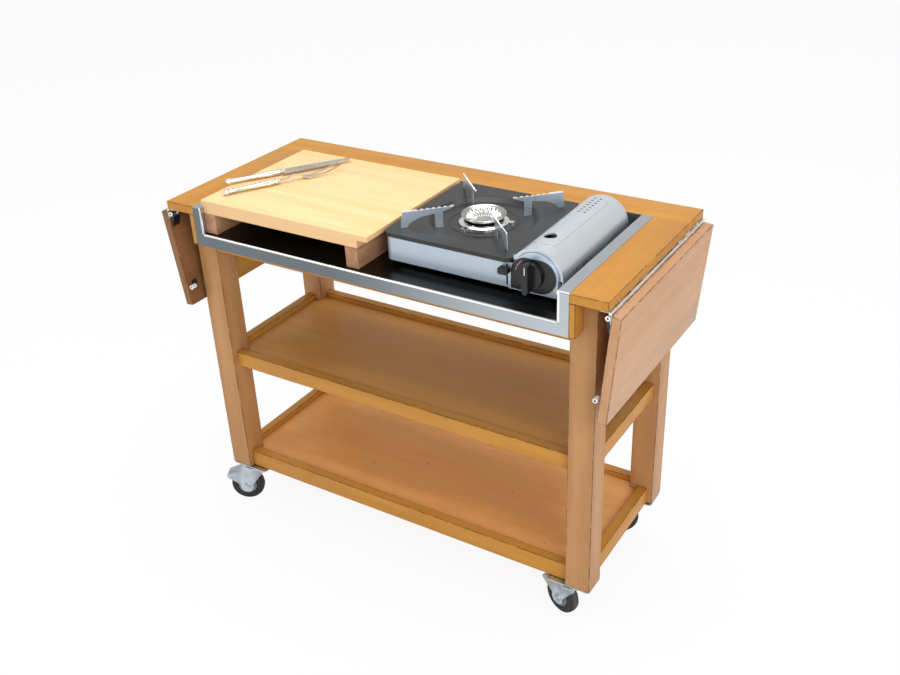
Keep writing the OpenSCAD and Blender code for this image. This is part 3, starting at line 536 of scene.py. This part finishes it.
def brushed_steel_well():
    """Brushed stainless steel, with painted shade making the floor of the well near black, and a painted
    reflection and painted highlights on its front.
    """
    material, tree, shader, at = start_finish("brushed_stainless_well", metallic=1.0, roughness=0.3)
    marks = use(tree, rubbed_metal, Vector=at, Stretch=0.012)
    parts = put(tree, "SeparateXYZ", None, Vector=at).outputs
    shade = stain(tree, ease(tree, marks["Patches"], 0.3, 0.7), tone(192, 198, 204), tone(186, 192, 198))
    # painted reflection: the front face darker towards its left end and lighter towards the right
    front = ease(tree, parts[1], FRONT_Y + 0.0004, FRONT_Y + 0.0012, 1.0, 0.0)
    facing = stain(tree, ease(tree, parts[0], -0.1, 0.4), tone(112, 120, 126), tone(188, 196, 202))
    shade = stain(tree, front, shade, facing)
    # painted highlight along the rolled edge between the uprights
    high = ease(tree, parts[2], WELL_FLOOR - 0.0032, WELL_FLOOR - 0.0016)
    near = ease(tree, parts[1], FRONT_Y + 0.0042, FRONT_Y + 0.0050, 1.0, 0.0)
    right_of_left = calc(tree, "GREATER_THAN", parts[0], LEFT_MOVE - WALL_X)
    left_of_right = calc(tree, "LESS_THAN", parts[0], WALL_X - RIGHT_MOVE)
    between = calc(tree, "MULTIPLY", right_of_left, left_of_right)
    fold_highlight = calc(tree, "MULTIPLY", calc(tree, "MULTIPLY", high, near), between)
    # painted highlight along the inner edges of the two uprights, above the floor
    inner_edge = ease(tree, calc(tree, "ABSOLUTE", parts[0]), WALL_X - 0.0062, WALL_X - 0.0036, 1.0, 0.0)
    above = ease(tree, parts[2], WELL_FLOOR, WELL_FLOOR + 0.001)
    upright = calc(tree, "MULTIPLY", inner_edge, above)
    below = calc(tree, "SUBTRACT", 1.0, above)
    # the two painted highlights, laid on in white
    lit = calc(tree, "MAXIMUM", calc(tree, "MULTIPLY", fold_highlight, below), calc(tree, "MULTIPLY", upright, front))
    shade = stain(tree, lit, shade, tone(255, 255, 255))
    # painted shade: the floor behind the front, near black
    low = ease(tree, parts[2], WELL_FLOOR + 0.0002, WELL_FLOOR + 0.0009, 1.0, 0.0)
    behind = ease(tree, parts[1], FRONT_Y + 0.002, FRONT_Y + 0.006)
    shade = stain(tree, calc(tree, "MULTIPLY", low, behind), shade, tone(52, 50, 48))
    rough = calc(tree, "MULTIPLY_ADD", marks["Scratches"], 0.12, 0.26)
    connect(tree, shader, shade, rough, marks["Scratches"], depth=0.00001)
    return material


def widened_well(material):
    """The CAD well, with its right wall and the inner edge of each upright front strip moved inwards."""
    shape = merged_copy("steel_well")
    for vertex in shape.verts:
        x, y = vertex.co.x, vertex.co.y
        if WALL_X - SLACK < x < WALL_X + FOLD_REACH:
            vertex.co.x = x - RIGHT_MOVE
        elif WALL_X - SLACK < -x < WALL_X + FOLD_REACH and y < FRONT_Y + FOLD_DEPTH:
            vertex.co.x = x + LEFT_MOVE
    well = new_piece("widened_well", finished_mesh("widened_well", shape), material, "steel_well")
    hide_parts("steel_well")


widened_well(brushed_steel_well())

# Casters
# Zinc-plated pressed plates and forks with black rubber tyres on grey cores. The plates are held to the
# legs with wood screws.
WHEEL_R = 0.0375
HUB_R = 0.0206


def wheel_finish(corner):
    """Black rubber outside the hub's radius and grey plastic inside it, measured from the axle."""
    roll = joints[corner + "_roll"]
    material, tree, shader, at = start_finish("tyre_" + corner, roughness=0.6, specular=0.35)
    offset = vector(tree, "SUBTRACT", at, tuple(roll["pos_m"]))
    along = vector(tree, "DOT_PRODUCT", offset, tuple(roll["axis"]))
    square = calc(tree, "POWER", vector(tree, "LENGTH", offset), 2.0)
    radius = calc(tree, "SQRT", calc(tree, "SUBTRACT", square, calc(tree, "POWER", along, 2.0)))
    marks = use(tree, smudges, Vector=at, Speckle=500.0)
    rubber = stain(tree, marks["Patches"], tone(24, 26, 30), tone(48, 50, 54))
    core = stain(tree, marks["Patches"], tone(150, 158, 164), tone(120, 128, 134))
    outside = ease(tree, radius, HUB_R, HUB_R + 0.0006)
    tread = ease(tree, radius, WHEEL_R - 0.0012, WHEEL_R)
    rubber = stain(tree, calc(tree, "MULTIPLY", tread, 0.35), rubber, tone(96, 94, 90))
    colour = stain(tree, outside, core, rubber)
    rough = ease(tree, radius, HUB_R, HUB_R + 0.0006, 0.35, 0.62)
    connect(tree, shader, colour, rough, marks["Speckle"], depth=0.0001)
    return material


dress("caster_plates", zinc)
dress("caster_screws", nickel)
for corner in CORNERS:
    dress("fork_" + corner, zinc)
    dress("wheel_" + corner, wheel_finish(corner))

# Carving board
# Pale maple staves, glued edge to edge and oiled, on two runners of bare beech.
STAVE_W = 0.046
MAPLE = tone(240, 205, 152)
MAPLE_WARM = tone(232, 192, 134)


def maple_board():
    """Pale maple along X in staves across Y, each with its own tone; every face that does not look up is a
    darker, pinker tone.
    """
    material, tree, shader, at = start_finish("oiled_maple", roughness=0.5, coat=0.08, coat_roughness=0.3)
    parts = put(tree, "SeparateXYZ", None, Vector=at).outputs
    stave = calc(tree, "FLOOR", calc(tree, "DIVIDE", parts[1], STAVE_W))
    own = put(tree, "TexWhiteNoise", {"noise_dimensions": "1D"}, W=stave).outputs["Value"]
    shift = put(tree, "CombineXYZ", None, X=calc(tree, "MULTIPLY", own, 3.0), Y=0.0, Z=own).outputs[0]
    grain = use(tree, beech_grain, Vector=vector(tree, "ADD", at, shift))
    colour = stain(tree, grain["Bands"], MAPLE, MAPLE_WARM)
    colour = stain(tree, calc(tree, "MULTIPLY", own, 0.35), colour, tone(232, 192, 128))
    colour = stain(tree, calc(tree, "MULTIPLY", grain["Flecks"], 0.22), colour, tone(206, 160, 104))
    facing = put(tree, "NewGeometry").outputs["True Normal"]
    upward = put(tree, "SeparateXYZ", None, Vector=facing).outputs[2]
    sides = ease(tree, calc(tree, "ABSOLUTE", upward), 0.5, 0.9, 1.0, 0.0)
    colour = stain(tree, calc(tree, "MULTIPLY", sides, 0.75), colour, tone(226, 184, 136))
    across = calc(tree, "FRACT", calc(tree, "DIVIDE", parts[1], STAVE_W))
    glue = ease(tree, calc(tree, "ABSOLUTE", calc(tree, "SUBTRACT", across, 0.5)), 0.492, 0.5)
    colour = stain(tree, calc(tree, "MULTIPLY", glue, 0.25), colour, tone(200, 156, 100))
    rough = calc(tree, "MULTIPLY_ADD", grain["Fibres"], 0.14, 0.42)
    connect(tree, shader, colour, rough, grain["Fibres"], depth=0.00008)
    return material


def bare_beech():
    """Bare pinkish beech along Y with its dark flecks."""
    material, tree, shader, at = start_finish("bare_beech", roughness=0.62, specular=0.3)
    grain = use(tree, beech_grain, Vector=along_grain(tree, at, "y", 3))
    colour = stain(tree, grain["Bands"], tone(182, 140, 108), tone(154, 110, 80))
    colour = stain(tree, calc(tree, "MULTIPLY", grain["Flecks"], 0.5), colour, tone(120, 78, 54))
    connect(tree, shader, colour, None, grain["Fibres"], depth=0.0001)
    return material


eased_board("cutting_board", maple_board(), width=0.0015)
eased_board("board_runners", bare_beech())

# Carving knife and fork
# Silver-coloured handles with a swelling pattern, on a steel blade and a two-pronged fork.
silver = plated_metal("silver_plate", tone(242, 238, 230), tone(206, 200, 190), 0.2, stretch=0.5)
blade_steel = plated_metal("blade_steel", tone(224, 222, 218), tone(188, 186, 180), 0.24, stretch=0.1)


def turned_skin(name, node, points, material):
    """A closed skin over a grid of points that runs round its second way; it replaces a CAD node."""
    rows, turns = points.shape[:2]
    shape = bmesh.new()
    corners = [shape.verts.new(tuple(point)) for point in points.reshape(-1, 3)]
    for i in range(rows - 1):
        for j in range(turns):
            k = (j + 1) % turns
            ring = (i * turns + j, (i + 1) * turns + j, (i + 1) * turns + k, i * turns + k)
            shape.faces.new([corners[number] for number in ring])
    bmesh.ops.remove_doubles(shape, verts=shape.verts, dist=MERGE)
    bmesh.ops.recalc_face_normals(shape, faces=shape.faces)
    mesh = finished_mesh(name, shape)
    shade_smooth(mesh)
    piece = new_piece(name, mesh, material, node)
    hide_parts(node)


# distance along the handle and its radius there, in millimetres
HANDLE_PROFILE = [
    (0, 0), (1, 4.6), (4, 7.2), (8, 7.3), (12, 5.8), (17, 5.3), (30, 5.0), (48, 5.2), (66, 5.8),
    (84, 6.6), (94, 7.2), (101, 6.4), (106, 5.2), (109, 6.4), (112, 6.2), (115, 5.0), (117.4, 4.6),
    (118, 0),
]
FLATNESS = 0.85
CAD_HANDLE_R = 0.0074
LOBES = 6
LOBE_SWELL = 0.10
BEADS = 22
BEAD_SWELL = 0.05


def pattern_handle(node, turn_deg, length_mm):
    """A silver handle: radius from the profile at u, with lobes cos(LOBES v) at the ends, beads between."""
    low, high = (np.array(corner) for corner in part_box(node))
    turn = math.radians(turn_deg)
    axis = np.array([math.cos(turn), math.sin(turn), 0.0])
    across = np.array([-axis[1], axis[0], 0.0])
    middle = (low + high) / 2
    start = middle - axis * length_mm / 2000.0
    start[2] = middle[2] - CAD_HANDLE_R * (1 - FLATNESS)
    along = np.linspace(0.0, 1.0, 181)
    around = np.linspace(0.0, 2 * math.pi, 49)[:-1]
    knots = np.array(HANDLE_PROFILE, float)
    radius = np.interp(along * length_mm, knots[:, 0], knots[:, 1]) / 1000.0
    ends = 0.5 + 0.5 * np.cos(2 * math.pi * along)
    beads = np.maximum(np.sin(2 * math.pi * BEADS * along), 0.0) * (1.0 - ends)
    u, v = np.meshgrid(along, around, indexing="ij")
    lobed = LOBE_SWELL * ends[:, None] * np.cos(LOBES * v)
    beaded = BEAD_SWELL * beads[:, None] * np.cos(2 * v)
    swell = 1.0 + lobed + beaded
    reach = radius[:, None] * swell
    point = start + u[..., None] * axis * length_mm / 1000.0
    point = point + (reach * np.cos(v))[..., None] * across
    point[..., 2] += FLATNESS * reach * np.sin(v)
    turned_skin(node + "_pattern", node, point, silver)


HANDLE_LENGTH_MM = 118.0
KNIFE_TURN = 57.0
FORK_TURN = 60.5
pattern_handle("knife_handle", KNIFE_TURN, HANDLE_LENGTH_MM)
pattern_handle("fork_handle", FORK_TURN, HANDLE_LENGTH_MM)
dress("knife_blade", blade_steel)
dress("fork_tines", blade_steel)

# Portable gas stove
# Pressed steel, sprayed silver blue, with an enamelled plate, a chromed burner and moulded black fittings.


def silver_paint(name, dark, light, metallic):
    """Metallic paint with a fine flake between a dark and a light tone."""
    material, tree, shader, at = start_finish(name, metallic=metallic, roughness=0.32, coat=0.6)
    flake = put(tree, "TexVoronoi", None, Vector=at, Scale=2600.0).outputs["Color"]
    pick = put(tree, "SeparateColor", None, Color=flake).outputs[0]
    marks = use(tree, smudges, Vector=at, Speckle=1200.0)
    colour = stain(tree, calc(tree, "MULTIPLY", pick, 0.35), dark, light)
    rough = calc(tree, "MULTIPLY_ADD", marks["Patches"], 0.1, 0.27)
    connect(tree, shader, colour, rough, pick, depth=0.00001)
    return material


stove_paint = silver_paint("blue_silver_paint", tone(178, 194, 210), tone(212, 224, 234), 0.55)
cover_paint = silver_paint("cover_silver_paint", tone(198, 206, 214), tone(236, 240, 244), 0.7)
enamel = smooth_coat("dark_enamel", tone(26, 27, 28), tone(34, 36, 37), 0.36, coat=0.1, speckle=700.0)
chrome = plated_metal("burner_chrome", tone(244, 244, 242), tone(222, 222, 220), 0.16, stretch=0.5)
SUPPORT_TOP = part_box("pan_supports")[1][2]


def pressed_support():
    """Blue-grey pressed steel with a painted highlight along its toothed top edge."""
    material, tree, shader, at = start_finish("pressed_support", metallic=0.5, roughness=0.32)
    marks = use(tree, smudges, Vector=at, Speckle=900.0)
    height = put(tree, "SeparateXYZ", None, Vector=at).outputs[2]
    shade = stain(tree, marks["Patches"], tone(150, 162, 176), tone(172, 182, 194))
    # painted highlight: the toothed top edge is laid on near white
    worn = ease(tree, height, SUPPORT_TOP - 0.0030, SUPPORT_TOP - 0.0018)
    shade = stain(tree, worn, shade, tone(250, 250, 252))
    rough = calc(tree, "MULTIPLY_ADD", marks["Patches"], 0.1, 0.27)
    connect(tree, shader, shade, rough, marks["Speckle"], depth=0.00002)
    return material


support_enamel = pressed_support()
black_plastic = smooth_coat("black_moulding", tone(16, 17, 19), tone(24, 25, 28), 0.3, speckle=1400.0)
black_rubber = smooth_coat("foot_rubber", tone(24, 24, 24), tone(36, 36, 36), 0.7)
can_paint = smooth_coat("can_paint", tone(232, 232, 226), tone(214, 214, 206), 0.35)
dress("stove_body", stove_paint)
dress("cartridge_cover", cover_paint)
dress("stove_feet", black_rubber)
dress("stove_plate", enamel)
dress("burner_ring", chrome)

# radius and height in millimetres, from the middle over the rim and down the outside to the tube
BOWL_PROFILE = [
    (0, -2.2), (10, -2.0), (14, -1.2), (24, 0.4), (32, 3.6), (37, 7.6), (39.2, 9.8), (40.6, 10.6),
    (41.4, 9.8), (40.6, 8.2), (38.4, 5.0), (34, 0.8), (28, -1.6), (15, -4.4), (14, -6.0), (13, -9.0),
]
RIM_KNOT = 7
RIBS = 24
RIB_HEIGHT = 0.0013
RIB_FROM = 0.014
RIB_TO = 0.036
RIB_FADE = 0.004


def ribbed_bowl(material):
    """The burner: its profile turned about Z to the tube's foot, with ribs of cos(RIBS v) in the bowl."""
    low, high = (np.array(corner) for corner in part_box("burner_head"))
    middle = (low + high) / 2
    seat = high[2] - BOWL_PROFILE[RIM_KNOT][1] / 1000.0
    foot = low[2] - seat
    knots = np.array(BOWL_PROFILE, float) / 1000.0
    knots = np.vstack([knots, (knots[-1, 0], foot), (0.0, foot)])
    spans = np.hypot(*np.diff(knots, axis=0).T)
    steps = np.concatenate([[0.0], np.cumsum(spans)])
    walk = np.union1d(np.linspace(0.0, steps[-1], 97), steps)
    radius = np.interp(walk, steps, knots[:, 0])
    height = np.interp(walk, steps, knots[:, 1])
    around = np.linspace(0.0, 2 * math.pi, 193)[:-1]
    inside = walk < steps[RIM_KNOT]
    rising = np.clip((radius - RIB_FROM) / RIB_FADE, 0, 1)
    falling = np.clip((RIB_TO - radius) / RIB_FADE, 0, 1)
    band = rising * falling * inside
    r, v = np.meshgrid(radius, around, indexing="ij")
    rise = height[:, None] + RIB_HEIGHT * band[:, None] * np.cos(RIBS * v)
    point = np.stack([middle[0] + r * np.cos(v), middle[1] + r * np.sin(v), seat + rise], -1)
    turned_skin("ribbed_bowl", "burner_head", point, material)


ribbed_bowl(plated_metal("bowl_chrome", tone(206, 208, 206), tone(180, 182, 180), 0.22, stretch=0.5))
dress("pan_supports", support_enamel)
dress("dial_plate", black_plastic)
dress("gas_knob", black_plastic)
dress("lock_lever", black_plastic)
dress("gas_cartridge", can_paint)

# Dial marks
# Plain white ticks beside the knob, a red wedge that grows towards full flame, and a white line on the grip.
DIAL_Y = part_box("dial_plate")[0][1]
KNOB_AT = np.array(joints["knob_turn"]["pos_m"])
PRINT_T = 0.0002
white_print = smooth_coat("white_print", tone(232, 232, 228), tone(218, 218, 214), 0.5)
red_print = smooth_coat("red_print", tone(196, 44, 40), tone(180, 38, 36), 0.5)


def printed(name, node, patches, front, material):
    """Thin print on a face across Y: each patch, four corners (x, z), becomes a slab PRINT_T thick."""
    points = []
    faces = []
    for corners in patches:
        base = len(points)
        points += [(x, front, z) for x, z in corners] + [(x, front - PRINT_T, z) for x, z in corners]
        faces += [(base, base + 1, base + 2, base + 3), (base + 7, base + 6, base + 5, base + 4)]
        faces += [(base + k, base + 4 + k, base + 4 + (k + 1) % 4, base + (k + 1) % 4) for k in range(4)]
    mesh = bpy.data.meshes.new(name)
    mesh.from_pydata(points, [], faces)
    new_piece(name, mesh, material, node)


def arc_patch(inner, outer, start_deg, end_deg):
    """Four corners of a patch between two radii and two angles about the knob's axis."""
    corners = []
    for radius, angle in ((inner, start_deg), (outer, start_deg), (outer, end_deg), (inner, end_deg)):
        swing = math.radians(angle)
        corners.append((KNOB_AT[0] + radius * math.cos(swing), KNOB_AT[2] + radius * math.sin(swing)))
    return corners


TICKS = 7
TICK_FROM = 128
TICK_STEP = 7
TICK_WIDE = 2.0
TICK_INNER = 0.0266
TICK_OUTER = 0.0285
tick_angles = [TICK_FROM + TICK_STEP * k for k in range(TICKS)]
ticks = [arc_patch(TICK_INNER, TICK_OUTER, angle, angle + TICK_WIDE) for angle in tick_angles]
printed("dial_ticks", "dial_plate", ticks, DIAL_Y, white_print)
WEDGE_STEPS = 12
WEDGE_INNER = 0.0255
WEDGE_WIDE = 0.0010
WEDGE_FROM = 180
WEDGE_STEP = 4
WEDGE_GAP = 0.4
wedge = []
for k in range(WEDGE_STEPS):
    outer = WEDGE_INNER + WEDGE_WIDE * (k + 1) / WEDGE_STEPS
    angle = WEDGE_FROM - WEDGE_STEP * k
    wedge.append(arc_patch(WEDGE_INNER, outer, angle - WEDGE_STEP + WEDGE_GAP, angle))
printed("dial_wedge", "dial_plate", wedge, DIAL_Y, red_print)
GRIP_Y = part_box("gas_knob")[0][1]
LINE_HALF = 0.0007
LINE_FROM = 0.008
LINE_TO = 0.022
line_left = KNOB_AT[0] - LINE_HALF
line_right = KNOB_AT[0] + LINE_HALF
line_low = KNOB_AT[2] + LINE_FROM
line_high = KNOB_AT[2] + LINE_TO
grip_line = [(line_left, line_low), (line_right, line_low), (line_right, line_high), (line_left, line_high)]
printed("knob_line", "gas_knob", [grip_line], GRIP_Y, white_print)

# Studio
# A plain pale floor under soft light from above and both front sides, seen from the photograph's angle.


def pale_floor():
    """Near-white floor that keeps the shadow; the camera and mirrors also see a part of it as plain white."""
    material = bpy.data.materials.new("pale_floor")
    material.use_nodes = True
    tree = material.node_tree
    tree.nodes.clear()
    matt = put(tree, "BsdfDiffuse", None, Color=(0.86, 0.86, 0.86, 1.0)).outputs[0]
    white = put(tree, "Emission", None, Color=(1.0, 1.0, 1.0, 1.0), Strength=1.0).outputs[0]
    rays = put(tree, "LightPath").outputs
    mirrored = calc(tree, "MULTIPLY", rays["Is Glossy Ray"], FLOOR_MIRRORED)
    seen = calc(tree, "MAXIMUM", rays["Is Camera Ray"], mirrored)
    share = calc(tree, "MULTIPLY", seen, FLOOR_SEEN_WHITE)
    mixed = put(tree, "MixShader", None, i0=share, i1=matt, i2=white).outputs[0]
    put(tree, "OutputMaterial", None, Surface=mixed)
    return material


FLOOR_HALF = 16.0
FLOOR_SEEN_WHITE = 0.9
FLOOR_MIRRORED = 0.3
corners = np.array([(-1, -1, 0), (1, -1, 0), (1, 1, 0), (-1, 1, 0)]) * FLOOR_HALF
floor_mesh = bpy.data.meshes.new("floor")
floor_mesh.from_pydata(corners.tolist(), [], [(0, 1, 2, 3)])
floor_mesh.materials.append(pale_floor())
floor = bpy.data.objects.new("floor", floor_mesh)
bpy.context.scene.collection.objects.link(floor)

world = bpy.data.worlds.new("studio")
world.use_nodes = True
bpy.context.scene.world = world
tree = world.node_tree
tree.nodes.clear()
rays = put(tree, "LightPath").outputs
soft = put(tree, "Background", None, Color=(1.0, 0.99, 0.96, 1.0), Strength=0.68).outputs[0]
plain = put(tree, "Background", None, Color=(1.0, 1.0, 1.0, 1.0), Strength=1.0).outputs[0]
sky = put(tree, "MixShader", None, i0=rays["Is Camera Ray"], i1=soft, i2=plain).outputs[0]
put(tree, "OutputWorld", None, Surface=sky)


def soft_light(name, at, towards, size, power):
    """A large square lamp at a place, turned towards a point."""
    lamp = bpy.data.lights.new(name, "AREA")
    lamp.shape = "SQUARE"
    lamp.size = size
    lamp.energy = power
    holder = bpy.data.objects.new(name, lamp)
    bpy.context.scene.collection.objects.link(holder)
    holder.location = at
    holder.rotation_euler = (Vector(towards) - Vector(at)).to_track_quat("-Z", "Y").to_euler()


TROLLEY_MIDDLE = (0.0, 0.0, 0.45)
soft_light("overhead", (0.1, 0.2, 3.0), TROLLEY_MIDDLE, size=2.4, power=48.0)
soft_light("front_right", (2.6, -2.0, 1.9), TROLLEY_MIDDLE, size=1.8, power=44.0)
soft_light("front_left", (-2.2, -2.6, 1.7), TROLLEY_MIDDLE, size=1.8, power=20.0)
soft_light("right", (2.8, 0.4, 1.3), (0.3, 0.0, 0.7), size=1.6, power=6.0)

CAMERA_AT = Vector((1.04755, -1.55993, 1.4999))
CAMERA_FORWARD = Vector((-0.4727119, 0.7330567, -0.4890514)).normalized()
CAMERA_ROLL = -0.04334
FOCAL_PIXELS = 1056.83
PHOTO_WIDTH = 900
level_right = CAMERA_FORWARD.cross(Vector((0, 0, 1))).normalized()
level_up = level_right.cross(CAMERA_FORWARD)
right = math.cos(CAMERA_ROLL) * level_right + math.sin(CAMERA_ROLL) * level_up
up = math.cos(CAMERA_ROLL) * level_up - math.sin(CAMERA_ROLL) * level_right
turn = Matrix((right, up, -CAMERA_FORWARD)).transposed()
eye = bpy.data.cameras.new("photo_view")
eye.sensor_width = 36.0
eye.lens = FOCAL_PIXELS * eye.sensor_width / PHOTO_WIDTH
eye.clip_end = 100.0
camera = bpy.data.objects.new("photo_view", eye)
camera.matrix_world = Matrix.Translation(CAMERA_AT) @ turn.to_4x4()
bpy.context.scene.collection.objects.link(camera)
bpy.context.scene.camera = camera
bpy.context.scene.view_settings.view_transform = "Standard"
